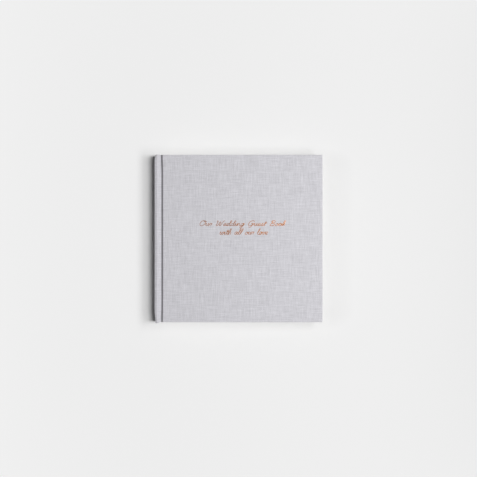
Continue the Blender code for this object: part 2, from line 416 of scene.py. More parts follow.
def makePaper(name, colour, roughness, fineness, edges=False):
    look = paperLook
    material, tree, shader = newMaterial(name)
    where = objectPlace(tree)
    fibre = useGroup(tree, paperFibre, {"Vector": where, "Fineness": fineness})
    darker, fleck = [tuple(c * look[key] for c in colour) for key in ("darker", "fleck")]
    base = mixColours(tree, remap(tree, fibre["Cloud"], 0.3, 0.7), darker, colour)
    base = mixColours(tree, times(tree, fibre["Fleck"], look["fleckShare"]), base, fleck)
    if edges:
        # cut edges take a little more dust than the open pages
        face = addNode(tree, "NewGeometry").outputs["True Normal"]
        upward = partsOf(tree, face)[2]
        onEdge = math1(tree, "LESS_THAN", math1(tree, "ABSOLUTE", upward), 0.5)
        height = partsOf(tree, where)[2]
        line = addCombined(tree, 0.0, 0.0, times(tree, height, look["striae"]))
        striae = addNoise(tree, line, 1.0, 1.0)["Fac"]
        dust = times(tree, onEdge, remap(tree, striae, 0.3, 0.7, *look["dustShare"]))
        base = mixColours(tree, dust, base, look["dust"])
    tree.links.new(base, shader.inputs["Base Color"])
    addBump(tree, shader, fibre["Height"], look["bumpHeight"], look["bumpStrength"])
    spread = look["roughSpread"]
    rough = remap(tree, fibre["Cloud"], 0.3, 0.7, roughness - spread, roughness + spread)
    tree.links.new(rough, shader.inputs["Roughness"])
    shader.inputs["Specular IOR Level"].default_value = look["gloss"]
    return material


def makeTapeCloth(name, yarn, body, shadow):
    # tape, gauze and thread share the weave at their own scales, turned to lie in the spine's plane
    material, tree, shader = newMaterial(name, 0.9)
    where = objectPlace(tree)
    turned = addNode(tree, "Mapping", {"Vector": where, "Rotation": (0.0, math.pi / 2, 0.0)}).outputs[0]
    weave = useGroup(tree, plainWeave, {"Vector": turned, "Yarn": yarn, "Wander": 0.3})
    base = mixColours(tree, remap(tree, weave["Height"], 0.1, 0.7), shadow, body)
    tree.links.new(base, shader.inputs["Base Color"])
    addBump(tree, shader, weave["Height"], 0.12 * mm, 0.8)
    return material


silkLook = {
    "pale": (0.80, 0.79, 0.76),
    "dark": (0.40, 0.39, 0.42),
    "stripe": 1.0 * mm,
    "strand": 0.11 * mm,
    "slant": 0.35,
    "bumpHeight": 0.03 * mm,
}


def makeBandSilk(name, look):
    # two silks wound in turn over the core
    material, tree, shader = newMaterial(name, 0.5)
    where = objectPlace(tree)
    place = partsOf(tree, where)
    along = math1(tree, "MULTIPLY_ADD", place[0], look["slant"], place[2])
    turns = times(tree, along, math.pi / look["stripe"])
    stripe = remap(tree, math1(tree, "SINE", turns), -0.25, 0.25)
    tree.links.new(mixColours(tree, stripe, look["pale"], look["dark"]), shader.inputs["Base Color"])
    strands = math1(tree, "SINE", times(tree, along, math.pi / look["strand"]))
    addBump(tree, shader, strands, look["bumpHeight"], 0.7)
    shader.inputs["Sheen Weight"].default_value = 0.2
    return material


foilLook = {
    # the first colour is painted shade: the foil down in the weave's hollows
    "hollowShade": (0.28, 0.085, 0.022),
    "crown": (0.40, 0.145, 0.043),
    "worn": (0.50, 0.22, 0.075),
    "wornShare": 0.3,
    "metallic": 0.55,
    "roughness": (0.24, 0.18),
    "bumpHeight": 0.006 * mm,
    "bumpStrength": 0.4,
}


def makeFoil(name, look):
    # copper film pressed into the yarns: the weave shows through, with painted shade making the foil darker
    # in its hollows, and worn places are paler
    material, tree, shader = newMaterial(name, metallic=look["metallic"])
    where = objectPlace(tree)
    scale = {"Yarn": linenLook["yarn"], "Wander": linenLook["wander"]}
    weave = useGroup(tree, plainWeave, {"Vector": where, **scale})
    cloud = addNoise(tree, where, 120.0, 3.0)["Fac"]
    # painted shade: the foil is darker toward the weave's hollows than on the crowns
    base = mixColours(tree, remap(tree, weave["Height"], 0.1, 0.8), look["hollowShade"], look["crown"])
    base = mixColours(tree, remap(tree, cloud, 0.35, 0.65, 0.0, look["wornShare"]), base, look["worn"])
    tree.links.new(base, shader.inputs["Base Color"])
    tree.links.new(remap(tree, weave["Height"], 0.1, 0.8, *look["roughness"]), shader.inputs["Roughness"])
    addBump(tree, shader, weave["Height"], look["bumpHeight"], look["bumpStrength"])
    return material


linenCloth = makeLinen("linenCloth", linenLook)
greyBoard = makePaper("greyBoard", (0.40, 0.38, 0.35), 0.9, 0.5)
endPaper = makePaper("endPaper", (0.83, 0.81, 0.77), 0.75, 0.8)
pagePaper = makePaper("pagePaper", (0.86, 0.84, 0.80), 0.8, 1.0, edges=True)
cottonTape = makeTapeCloth("cottonTape", 0.6 * mm, (0.80, 0.77, 0.70), (0.50, 0.47, 0.41))
gauze = makeTapeCloth("gauze", 1.1 * mm, (0.84, 0.82, 0.77), (0.36, 0.33, 0.28))
linenThread = makeTapeCloth("linenThread", 0.22 * mm, (0.83, 0.80, 0.73), (0.55, 0.51, 0.44))
bandSilk = makeBandSilk("bandSilk", silkLook)
copperFoil = makeFoil("copperFoil", foilLook)
print("finishes made")


# the book cloth: one sheet for each half of the case, meeting along the middle of the spine
clothCut = {
    "thickness": 0.32 * mm,
    "turnIn": 15.0 * mm,
    "edgeRadius": 0.55 * mm,
    "ridge": ((0, 1.15 * mm, 0.6 * mm), (2.6 * mm, 0.22 * mm, 2.5 * mm)),  # x, depth and radius
    "ridgeEnd": 3.6 * mm,  # where the ridge starts to fall into the groove, from the spine's face
    "ridgeRadius": 1.8 * mm,
    "grooveStart": 9.0 * mm,
    "grooveEnd": 9.35 * mm,
    "grooveDepth": 3.2 * mm,
    "grooveRadii": (0.5 * mm, 0.3 * mm),
    "boardStart": 11.2 * mm,
    "boardRadius": 0.65 * mm,
    "faceStart": 17 * mm,
    "steps": (1.1 * mm, 3.4 * mm, 1.6 * mm),  # between points: in the joint, on the face, at the fore-edge
    "foreStrip": 8 * mm,
    "spineThickness": 2.8 * mm,
    "liningDepth": 1.3 * mm,  # where the turned-in cloth lies behind the ridge
    "liningEnd": (3.25 * mm, 0.9 * mm),
    "doubled": 0.5 * mm,  # two layers where the cloth is turned in along the groove
    # drawn in over the spine, over how far, past the boards, and the groove's drift toward the spine
    "head": {"pull": 1.5 * mm, "length": 5.5 * mm, "reach": 0.4 * mm, "drift": 0.75 * mm},
    "tail": {"pull": 1.2 * mm, "length": 14.0 * mm, "reach": 1.4 * mm, "drift": 0.4 * mm},
    "tipLength": 4 * mm,
    "driftLength": 24 * mm,
    "driftEnds": (4 * mm, 4.5 * mm),  # how the drift comes in over the slope and goes out over the board
    "pullFade": 0.6,
    "reachFade": 0.7,
    "reachDepth": 6 * mm,
    "corner": 1.8 * mm,
    "unevenness": 0.06 * mm,
    "waves": (34, 90),  # broad and fine, per metre
    "waveStart": 12 * mm,
    # it lies still under the stamped lines
    "stampMiddle": (117 * mm, 15 * mm),
    "stampHalf": (60 * mm, 12 * mm),
    "stampEdge": 15 * mm,
}


def ease(t):
    t = min(1.0, max(0.0, t))
    return t * t * (3 - 2 * t)


def roundedPath(corners, step):
    # straight runs joined by arcs; corners are (x, depth, radius), and the result is points with a step each
    points = [Vector(corners[0][:2])]
    for before, here, after in zip(corners, corners[1:], corners[2:]):
        corner = Vector(here[:2])
        if here[2] == 0:
            addRun(points, corner, step)
            continue
        into = (Vector(before[:2]) - corner).normalized()
        out = (Vector(after[:2]) - corner).normalized()
        half = into.angle(out) / 2
        reach = here[2] / math.tan(half)
        centre = corner + (into + out).normalized() * here[2] / math.sin(half)
        start = corner + into * reach
        end = corner + out * reach
        addRun(points, start, step)
        turns = 5
        for k in range(1, turns + 1):
            share = k / turns
            points.append(centre + (start - centre).slerp(end - centre, share).normalized() * here[2])
    addRun(points, Vector(corners[-1][:2]), step)
    return points


def addRun(points, end, step):
    start = points[-1]
    count = max(1, math.ceil((end - start).length / step - 0.01))
    for k in range(1, count + 1):
        points.append(start.lerp(end, k / count))


def innerPath(outer, cut):
    # for each outer point, where the turned-in cloth lies on the other side of what it wraps
    inner = []
    behind = Vector((cut["spineThickness"], cut["liningDepth"]))
    for i, point in enumerate(outer):
        x, depth = point
        if x < 0.01 * mm:
            inner.append(Vector((behind.x, max(depth, behind.y))))
        elif x < cut["ridgeEnd"]:
            inner.append(behind.lerp(Vector(cut["liningEnd"]), x / cut["ridgeEnd"]))
        elif x < cut["grooveEnd"]:
            along = (outer[i + 1] - outer[i - 1]).normalized()
            inner.append(point + Vector((-along.y, along.x)) * cut["doubled"])
        else:
            share = ease((x - cut["grooveEnd"]) / (cut["boardStart"] + 0.5 * mm - cut["grooveEnd"]))
            low = Vector((x, cut["grooveDepth"] + cut["doubled"]))
            inner.append(low.lerp(Vector((max(x, cut["boardStart"]), case["coverDepth"])), share))
    return inner


def wrapSection(depth, radius, turnIn):
    # (inset from the outermost edge, share of the way to the inner side) round an edge, after the top face
    radius = min(radius, 0.45 * depth)
    steps = [(radius - radius * math.sin(a), (radius - radius * math.cos(a)) / depth)
             for a in (math.radians(d) for d in (22.5, 45, 67.5, 90))]
    steps.append((0.0, 0.5))
    steps += [(radius - radius * math.cos(a), 1 - (radius - radius * math.sin(a)) / depth)
              for a in (math.radians(d) for d in (0, 30, 60, 90))]
    steps += [(share * turnIn, 1.0) for share in (0.3, 0.65, 1.0)]
    return steps


def stationsAcross(limit):
    # y values from tail to head, closer together near the ends
    nearEnds = [0, 0.7, 1.6, 3.0, 5.0, 7.5, 10.5, 14.0, 18.0]
    low = [-limit + n * mm for n in nearEnds]
    middle = limit - nearEnds[-1] * mm
    count = 52
    between = [-middle + 2 * middle * k / count for k in range(1, count)]
    return low + between + [-y for y in reversed(low)]


def capAt(y, cut):
    # how the cloth over the spine is drawn in, how far it reaches out, and how far the groove drifts
    end = cut["head"] if y > 0 else cut["tail"]
    inward = case["headY"] - abs(y)
    pull = end["pull"] * ease(1 - inward / end["length"])
    reach = math.copysign(end["reach"] * ease(1 - inward / cut["tipLength"]), y)
    return pull, reach, end["drift"] * ease(1 - inward / cut["driftLength"])


def roundCorner(x, y, cut):
    # takes the square outer corners of the cover round, keeping everything else in place
    c = cut["corner"]
    right = c - (case["foreX"] - case["spineX"] - x)
    up = c - (case["headY"] - abs(y))
    if right <= 0 or up <= 0:
        return x, y
    right, up = min(right, c), min(up, c)
    x += right * (math.sqrt(1 - up * up / (2 * c * c)) - 1)
    y += math.copysign(up * (math.sqrt(1 - right * right / (2 * c * c)) - 1), y)
    return x, y


def waveShare(x, y, depth, cut):
    # waves only on the cover's face, away from the joint and the stamped lines
    if depth >= 0.2 * mm:
        return 0.0
    clear = [ease((abs(at - middle) - half) / cut["stampEdge"])
             for at, middle, half in zip((x, y), cut["stampMiddle"], cut["stampHalf"])]
    return ease((x - cut["waveStart"]) / cut["waveStart"]) * max(clear)


def placeCloth(point, y, cut, front):
    # from (distance from the spine's face, depth from the cover's face) and y to the book's own frame
    x, depth = point
    pull, reach, drift = capAt(y, cut)
    comingIn, goingOut = cut["driftEnds"]
    held = 1 - ease((x - cut["ridgeEnd"]) / (cut["grooveStart"] - cut["ridgeEnd"]))
    sunk = ease((x - cut["ridgeEnd"]) / comingIn) * (1 - ease((x - cut["grooveEnd"]) / goingOut))
    x += pull * held * (1 - cut["pullFade"] * ease(x / cut["ridgeEnd"])) - drift * sunk
    y += reach * held * (1 - cut["reachFade"] * ease(depth / cut["reachDepth"]))
    x, y = roundCorner(x, y, cut)
    broad, fine = cut["waves"]
    wave = noise.noise(Vector((x * broad, y * broad, 4.0 if front else 9.0)))
    wave += 0.5 * noise.noise(Vector((x * fine, y * fine, 2.0)))
    depth += cut["unevenness"] * max(0.0, 0.6 + wave) * waveShare(x, y, depth, cut)
    return Vector((case["spineX"] + x, y, case["top"] - depth if front else depth))


def makeClothHalf(name, front):
    cut = clothCut
    width = case["foreX"] - case["spineX"]
    radius = cut["edgeRadius"]
    groove = zip((cut["grooveStart"], cut["grooveEnd"]), [cut["grooveDepth"]] * 2, cut["grooveRadii"])
    corners = [(0, case["top"] / 2, 0), *cut["ridge"], (cut["ridgeEnd"], 0, cut["ridgeRadius"]), *groove,
               (cut["boardStart"], 0, cut["boardRadius"]), (cut["faceStart"], 0, 0)]
    jointStep, faceStep, foreStep = cut["steps"]
    outer = roundedPath(corners, jointStep)
    addRun(outer, Vector((width - cut["foreStrip"], 0)), faceStep)
    addRun(outer, Vector((width - radius, 0)), foreStep)
    inner = innerPath(outer, cut)
    lengths = [0.0]
    for a, b in zip(outer, outer[1:]):
        lengths.append(lengths[-1] + (b - a).length)
    limit = case["headY"] - radius
    ys = stationsAcross(limit)

    cloth = bmesh.new()
    uvLayer = cloth.loops.layers.uv.new("UVMap")
    uvOf = {}

    def addPoint(place, u, v):
        made = cloth.verts.new(place)
        uvOf[made] = (u, v)
        return made

    def addFace(loop):
        unique = [v for i, v in enumerate(loop) if v is not loop[i - 1]]
        if len(unique) > 2:
            cloth.faces.new(unique)

    grid = [[addPoint(placeCloth(p, y, cut, front), s, y) for y in ys] for p, s in zip(outer, lengths)]
    for i in range(len(outer) - 1):
        for j in range(len(ys) - 1):
            addFace([grid[i][j], grid[i + 1][j], grid[i + 1][j + 1], grid[i][j + 1]])

    def ringOf(i, y, side):
        # the wrap at one place along the perimeter: side is -1 tail, 1 head, 0 fore-edge, or a corner angle
        depthVector = inner[i] - outer[i]
        steps = wrapSection(depthVector.length, radius, cut["turnIn"])
        ring = []
        travelled = 0.0
        last = (radius, 0.0)
        for inset, share in steps:
            travelled += math.hypot(inset - last[0], (share - last[1]) * depthVector.length)
            last = (inset, share)
            here = outer[i] + depthVector * share
            if side in (-1, 1):
                here = Vector((min(here.x, width - max(inset, radius)), here.y))
                place = placeCloth(here, side * (case["headY"] - inset), cut, front)
                uv = (lengths[i], side * (limit + travelled))
            elif side == 0:
                edgeY = max(-case["headY"] + inset, min(case["headY"] - inset, y)) if inset > radius else y
                place = placeCloth(Vector((width - inset, here.y)), edgeY, cut, front)
                uv = (lengths[-1] + travelled, y)
            else:
                across = Vector((math.cos(side), math.sin(side)))
                reachIn = radius - inset
                if reachIn > 0:
                    around = Vector((width - radius + across.x * reachIn, here.y))
                    place = placeCloth(around, math.copysign(limit, y) + across.y * reachIn, cut, front)
                else:
                    edgeY = math.copysign(case["headY"] - inset, y)
                    place = placeCloth(Vector((width - inset, here.y)), edgeY, cut, front)
                uv = (lengths[-1] + travelled * across.x, math.copysign(limit, y) + travelled * across.y)
            ring.append(addPoint(place, *uv))
        return ring

    last = len(outer) - 1
    fan = [math.radians(a) for a in (18, 36, 54, 72)]
    perimeter = [(grid[i][0], ringOf(i, -limit, -1)) for i in range(last + 1)]
    perimeter += [(grid[last][0], ringOf(last, -limit, a - math.pi / 2)) for a in fan]
    perimeter += [(grid[last][j], ringOf(last, ys[j], 0)) for j in range(len(ys))]
    perimeter += [(grid[last][-1], ringOf(last, limit, a)) for a in fan]
    perimeter += [(grid[i][-1], ringOf(i, limit, 1)) for i in range(last, -1, -1)]
    for (topA, ringA), (topB, ringB) in zip(perimeter, perimeter[1:]):
        colA = [topA, *ringA]
        colB = [topB, *ringB]
        for k in range(len(colA) - 1):
            addFace([colA[k], colA[k + 1], colB[k + 1], colB[k]])
    for face in cloth.faces:
        for loop in face.loops:
            loop[uvLayer].uv = uvOf[loop.vert]
    bmesh.ops.remove_doubles(cloth, verts=cloth.verts, dist=0.002 * mm)
    bmesh.ops.recalc_face_normals(cloth, faces=cloth.faces)
    coverMiddle = Vector((0, 0, case["top"] if front else 0))
    outward = min(cloth.faces, key=lambda f: (f.calc_center_median() - coverMiddle).length)
    if (outward.normal.z > 0) != front:
        bmesh.ops.reverse_faces(cloth, faces=cloth.faces)
    mesh = bpy.data.meshes.new(name)
    cloth.to_mesh(mesh)
    cloth.free()
    piece = addObject(name, mesh)
    solid = piece.modifiers.new("thickness", "SOLIDIFY")
    solid.thickness = cut["thickness"]
    solid.offset = -1.0
    applyModifiers(piece)
    finishPiece(piece, name, linenCloth, 50)
    cover = "front" if front else "back"
    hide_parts(f"{cover}_cloth", f"{cover}_joint_cloth", "spine_cloth")
    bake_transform(piece)
    return piece


frontClothPiece = makeClothHalf("frontCloth", True)
makeClothHalf("backCloth", False)
print("cloth wrapped", len(frontClothPiece.data.polygons), "faces a half")


# boards: the covers' joint edges and the spine's outer edges are eased under the cloth
boardShape = {"jointChamfer": 1.1 * mm, "edgeBevel": 0.15 * mm}


def makeCoverBoard(side, body):
    low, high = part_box(f"{side}_board")
    board = addBox(low, high)
    outerZ = high.z if side == "front" else low.z
    setMode("EDIT")
    pick(board, "EDGE", lambda middle, item: isAt(middle.x, low.x) and isAt(middle.z, outerZ))
    bpy.ops.mesh.bevel(offset=boardShape["jointChamfer"], offset_type="OFFSET", segments=4, affect="EDGES")
    setMode("OBJECT")
    softenEdges(board, boardShape["edgeBevel"])
    finishPiece(board, f"{side}Board", greyBoard, 30)
    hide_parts(f"{side}_board")
    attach(board, body)


makeCoverBoard("front", "front_cover")
makeCoverBoard("back", "root")


spineBoardShape = {
    "endTaper": 9.0 * mm,
    "endSteps": ((1 / 3, 0.55), (0.0, 1.0)),  # share of the taper, and of the drop
    "endDrop": 1.25 * mm,
    "ridgeX": 1.3 * mm,
    "ridgeDrops": (0.85 * mm, 0.4 * mm, 0.2 * mm),  # at the outer face, at ridgeX and inside
    "softEdge": 0.25 * mm,
}


def makeSpineBoard(shape):
    low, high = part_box("spine_board")
    board = addBox(low, high)
    setMode("EDIT")
    taper = shape["endTaper"]
    bisectAt(board, 1, high.y - taper, high.y - taper / 3, low.y + taper, low.y + taper / 3)
    # its outer long edges slope back under the rounded ridge
    ridge = low.x + shape["ridgeX"]
    bisectAt(board, 0, ridge)
    for x, drop in zip((low.x, ridge, high.x), shape["ridgeDrops"]):
        for z, push in ((high.z, -drop), (low.z, drop)):
            pick(board, "VERT", lambda m, item: isAt(m.x, x, 0.1 * mm) and isAt(m.z, z, 0.1 * mm))
            bpy.ops.transform.translate(value=(0, 0, push))
    for share, drop in shape["endSteps"]:
        for y in (low.y + share * taper, high.y - share * taper):
            pick(board, "VERT", lambda m, item: m.x < low.x + 0.1 * mm and isAt(m.y, y, 0.1 * mm))
            bpy.ops.transform.translate(value=(drop * shape["endDrop"], 0, 0))
    setMode("OBJECT")
    softenEdges(board, shape["softEdge"])
    finishPiece(board, "spineBoard", greyBoard, 30)
    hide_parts("spine_board")
    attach(board, "spine")


makeSpineBoard(spineBoardShape)


# pages: sections of nested folded sheets
pageShape = {
    "leaf": 0.165 * mm,
    "sheetsPerSection": 4,
    "foldTurns": 6,
    # mm, out from the fold
    "bendSteps": [1.2, 1.4, 1.6, 1.8, 2.0, 2.0, 2.0, 2.2, 2.4, 2.6, 2.8, 4.0, 30.0, 60.0],
    # mm from the fold over which a section's leaves bend, from the covers to the middle
    "bendReach": [12.0, 14.0, 16.5, 19.0, 22.0],
    "trimSpread": 0.05 * mm,
}


def makeSheet(foldCentre, radius, foreX, halfHeight):
    # one folded sheet: the lower leaf out from the fold, round the fold, and the upper leaf back
    steps = [s * mm for s in pageShape["bendSteps"]]
    deselectAll()
    start = foldCentre.x + sum(steps)
    low = foldCentre.z - radius
    bpy.ops.mesh.primitive_plane_add(size=1, location=((foreX + start) / 2, 0, low))
    sheet = bpy.context.object
    sheet.scale = (foreX - start, 2 * halfHeight, 1)
    applyPlace(sheet)
    setMode("EDIT")
    pick(sheet, "EDGE", lambda middle, item: middle.x < start + 0.1 * mm)
    for step in reversed(steps):
        bpy.ops.mesh.extrude_region_move(TRANSFORM_OT_translate={"value": (-step, 0, 0)})
    bpy.ops.mesh.spin(steps=pageShape["foldTurns"], angle=math.pi, center=foldCentre, axis=(0, 1, 0))
    found = bmesh.from_edit_mesh(sheet.data)
    risen = max(v.co.z for v in found.verts)
    pick(sheet, "EDGE", lambda middle, item: isAt(middle.z, risen, 0.001 * mm)
         and isAt(middle.x, foldCentre.x, 0.001 * mm) and not isAt(item.verts[0].co.y, item.verts[1].co.y))
    for step in steps:
        bpy.ops.mesh.extrude_region_move(TRANSFORM_OT_translate={"value": (step, 0, 0)})
    bpy.ops.mesh.extrude_region_move(TRANSFORM_OT_translate={"value": (foreX - start, 0, 0)})
    bpy.ops.mesh.select_all(action="SELECT")
    bpy.ops.mesh.remove_doubles(threshold=0.001 * mm)
    bpy.ops.mesh.normals_make_consistent(inside=False)
    setMode("OBJECT")
    thick = sheet.modifiers.new("paper", "SOLIDIFY")
    thick.thickness = pageShape["leaf"]
    thick.offset = 0.0
    applyModifiers(sheet)
    return sheet


def makeSection(name, low, high, seed):
    shuffle = random.Random(seed)
    count = pageShape["sheetsPerSection"]
    pitch = (high.z - low.z - pageShape["leaf"]) / (2 * count - 1)
    centreZ = (low.z + high.z) / 2
    outerRadius = pitch * (2 * count - 1) / 2
    foldX = low.x + pageShape["leaf"] / 2 + outerRadius
    sheets = []
    for k in range(count):
        radius = outerRadius - k * pitch
        trim = shuffle.uniform(-1, 1) * pageShape["trimSpread"]
        tall = shuffle.uniform(-1, 1) * pageShape["trimSpread"]
        sheets.append(makeSheet(Vector((foldX, 0, centreZ)), radius, high.x + trim, high.y + tall))
    deselectAll()
    for sheet in sheets:
        sheet.select_set(True)
    bpy.context.view_layer.objects.active = sheets[0]
    bpy.ops.object.join()
    return finishPiece(bpy.context.object, name, pagePaper, 35)


def makePages():
    total = len([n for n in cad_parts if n.startswith("section_")])
    for number in range(1, total + 1):
        node = f"section_{number:02d}"
        low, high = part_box(node)
        piece = makeSection(f"pages{number:02d}", low, high, 100 + number)
        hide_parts(node)
        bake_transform(piece)


makePages()
print("sections folded")


endShape = {
    "flyReach": 10.0 * mm,
    "flyCuts": (0.9 * mm, 12),  # spacing and number of the bend lines beside the fold
    "pasteCuts": (0.6 * mm, 13),
    "sunk": 0.25 * mm,
    "boardClear": 2 * mm,
    "slope": 1.5 * mm,
    "slopeMiddle": 1 * mm,
}


def makeLeafPlate(low, high, spacing, count):
    # a flat leaf with bend lines across it near the fold
    plate = addBox(low, high)
    setMode("EDIT")
    bisectAt(plate, 0, *[low.x + k * spacing for k in range(1, count + 1)])
    setMode("OBJECT")
    return plate


def sinkPastedown(paste, side):
    # between the turn-ins the paper sinks onto the board
    foreX, headY = case["foreX"] - clothCut["turnIn"], case["headY"] - clothCut["turnIn"]
    slope, middleOf = endShape["slope"], endShape["slopeMiddle"]
    setMode("EDIT")
    bisectAt(paste, 0, case["boardX"] + endShape["boardClear"], foreX)
    bisectAt(paste, 1, -headY, -headY + slope, headY, headY - slope)
    bisectAt(paste, 0, foreX - slope)
    startX, endX = case["boardX"] + middleOf, foreX - middleOf
    pick(paste, "VERT", lambda middle, item: startX < middle.x < endX and abs(middle.y) < headY - middleOf)
    push = endShape["sunk"] if side == "front" else -endShape["sunk"]
    bpy.ops.transform.translate(value=(0, 0, push))
    setMode("OBJECT")


def makeEndpapers():
    for side, body in (("front", "front_cover"), ("back", "root")):
        low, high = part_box(f"{side}_flyleaf")
        fly = makeLeafPlate(low, high, *endShape["flyCuts"])
        finishPiece(fly, f"{side}Flyleaf", endPaper, 35)
        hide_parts(f"{side}_flyleaf")
        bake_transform(fly)

        low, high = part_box(f"{side}_pastedown")
        low.x = case["foldX"]
        paste = makeLeafPlate(low, high, *endShape["pasteCuts"])
        sinkPastedown(paste, side)
        finishPiece(paste, f"{side}Pastedown", endPaper, 35)
        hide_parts(f"{side}_pastedown")
        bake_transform(paste)


makeEndpapers()
print("endpapers laid")


bandShape = {
    "sides": 20,
    "ribs": 34,
    "ribDepth": 0.93,
    "endSize": 0.72,
    "skirt": 8.0 * mm,
    "skirtThickness": 0.12 * mm,
    "skirtHeight": 0.98,
    "skirtPlace": (0.16 * mm, 0.2 * mm),  # outward from the folds, and in from the middle of the core
}


def makeBand(node, name, sign):
    shape = bandShape
    low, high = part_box(node)
    middle = (low + high) / 2
    thick = high.z - low.z
    deselectAll()
    bpy.ops.mesh.primitive_cylinder_add(
        vertices=shape["sides"], radius=(high.x - low.x) / 2, depth=thick, location=middle)
    band = bpy.context.object
    applyPlace(band)
    setMode("EDIT")
    heights = [low.z + thick * k / shape["ribs"] for k in range(1, shape["ribs"])]
    bisectAt(band, 2, *heights)
    narrowed = [(z, shape["ribDepth"]) for z in heights[::2]]
    narrowed += [(z, shape["endSize"]) for z in (low.z, high.z)]
    for z, size in narrowed:
        pick(band, "VERT", lambda m, item: isAt(m.z, z))
        bpy.ops.transform.resize(value=(size, size, 1), center_override=(middle.x, middle.y, z))
    setMode("OBJECT")
    # the skirt that is glued down over the folds
    outward, inward = shape["skirtPlace"]
    skirtY = middle.y - sign * (inward + shape["skirt"] / 2)
    bpy.ops.mesh.primitive_cube_add(size=1, location=(case["foldX"] - outward, skirtY, middle.z))
    skirt = bpy.context.object
    skirt.scale = (shape["skirtThickness"], shape["skirt"], thick * shape["skirtHeight"])
    applyPlace(skirt)
    band.select_set(True)
    bpy.context.view_layer.objects.active = band
    bpy.ops.object.join()
    finishPiece(band, name, bandSilk, 50)
    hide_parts(node)
    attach(band, "spine")


makeBand("headband", "headBand", 1)
makeBand("tailband", "tailBand", -1)
print("bands wound")


# Letters as strokes through given points, in x-heights: (advance, joins the next letter, strokes).
letters = {
    "O": (1.55, False, [
        [(1.05, 1.95), (0.62, 2.12), (0.12, 1.55), (0.08, 0.65), (0.5, 0.0), (1.1, 0.35), (1.35, 1.25),
         (1.12, 2.0), (0.78, 1.92), (1.02, 1.62), (1.5, 1.8)],
    ]),
    "W": (2.0, False, [
        [(0.0, 1.75), (0.2, 2.05), (0.3, 1.35), (0.4, 0.05), (0.75, 0.8), (1.02, 1.6), (1.04, 0.8),
         (1.14, 0.05), (1.5, 0.85), (1.8, 2.05), (2.02, 1.98)],
    ]),
    "G": (1.5, False, [
        [(1.3, 1.62), (1.08, 2.08), (0.48, 1.9), (0.08, 1.05), (0.3, 0.12), (0.82, 0.08), (1.16, 0.62),
         (1.18, 1.0)],
        [(0.7, 0.92), (1.2, 1.0), (1.14, 0.1), (0.8, -0.62), (0.42, -0.5)],
    ]),
    "B": (1.45, False, [
        [(0.22, -0.02), (0.34, 1.0), (0.46, 2.02)],
        [(0.05, 1.7), (0.52, 2.14), (1.06, 1.85), (0.88, 1.25), (0.46, 1.08), (0.95, 1.02), (1.22, 0.55),
         (0.86, 0.04), (0.16, 0.12)],
    ]),
    "a": (1.0, True, [
        [(0.66, 0.86), (0.38, 0.98), (0.08, 0.52), (0.2, 0.04), (0.52, 0.2), (0.74, 0.92), (0.72, 0.2),
         (0.9, 0.0)],
    ]),
    "u": (1.0, True, [
        [(0.04, 0.45), (0.17, 0.96), (0.12, 0.3), (0.34, 0.0), (0.64, 0.42), (0.74, 0.96), (0.68, 0.22),
         (0.86, 0.0)],
    ]),
    "r": (0.72, True, [
        [(0.05, 0.45), (0.2, 1.02), (0.32, 0.86), (0.52, 0.94), (0.48, 0.55), (0.44, 0.14), (0.6, 0.0)],
    ]),
    "e": (0.82, True, [
        [(0.1, 0.32), (0.42, 0.42), (0.62, 0.76), (0.42, 1.0), (0.15, 0.66), (0.18, 0.16), (0.46, 0.0),
         (0.7, 0.12)],
    ]),
    "d": (1.05, True, [
        [(0.66, 0.86), (0.38, 0.98), (0.08, 0.52), (0.2, 0.04), (0.52, 0.18), (0.74, 0.9), (0.86, 2.1),
         (0.76, 0.9), (0.74, 0.2), (0.92, 0.0)],
    ]),
    "i": (0.55, True, [
        [(0.06, 0.4), (0.2, 0.96), (0.16, 0.3), (0.34, 0.0)],
        [(0.27, 1.36), (0.31, 1.44)],
    ]),
    "n": (1.0, True, [
        [(0.05, 0.5), (0.17, 0.98), (0.14, 0.02), (0.24, 0.55), (0.5, 0.98), (0.66, 0.74), (0.64, 0.2),
         (0.84, 0.0)],
    ]),
    "g": (1.0, True, [
        [(0.68, 0.84), (0.4, 0.98), (0.08, 0.52), (0.22, 0.04), (0.56, 0.22), (0.74, 0.94), (0.66, -0.1),
         (0.46, -0.95), (0.14, -0.78), (0.42, -0.28), (0.84, 0.04)],
    ]),
    "s": (0.72, True, [
        [(0.08, 0.25), (0.42, 0.98), (0.44, 0.6), (0.54, 0.22), (0.28, 0.0), (0.1, 0.12), (0.34, 0.02),
         (0.62, 0.06)],
    ]),
    "t": (0.66, True, [
        [(0.1, 0.4), (0.36, 1.62), (0.26, 0.8), (0.26, 0.16), (0.5, 0.0)],
        [(0.02, 1.08), (0.34, 1.14), (0.66, 1.1)],
    ]),
    "o": (0.86, True, [
        [(0.46, 0.98), (0.12, 0.66), (0.14, 0.12), (0.46, 0.0), (0.72, 0.46), (0.52, 0.94), (0.44, 0.78),
         (0.8, 0.72)],
    ]),
    "k": (0.92, True, [
        [(0.08, 0.35), (0.46, 1.7), (0.38, 2.12), (0.22, 1.55), (0.16, 0.0), (0.26, 0.52), (0.6, 0.94),
         (0.58, 0.62), (0.28, 0.5), (0.54, 0.26), (0.78, 0.0)],
    ]),
    "w": (1.25, True, [
        [(0.03, 0.6), (0.15, 0.96), (0.14, 0.22), (0.34, 0.0), (0.6, 0.5), (0.66, 0.9), (0.64, 0.24),
         (0.84, 0.0), (1.06, 0.56), (1.04, 0.96), (1.22, 0.8)],
    ]),
    "h": (0.98, True, [
        [(0.08, 0.35), (0.46, 1.7), (0.38, 2.12), (0.22, 1.55), (0.14, 0.0), (0.24, 0.55), (0.5, 0.98),
         (0.66, 0.7), (0.64, 0.16), (0.84, 0.0)],
    ]),
    "l": (0.6, True, [
        [(0.08, 0.35), (0.44, 1.7), (0.36, 2.12), (0.2, 1.5), (0.18, 0.28), (0.4, 0.0)],
    ]),
    "v": (0.86, True, [
        [(0.03, 0.6), (0.16, 0.96), (0.26, 0.2), (0.38, 0.0), (0.62, 0.56), (0.66, 0.96), (0.84, 0.8)],
    ]),
}
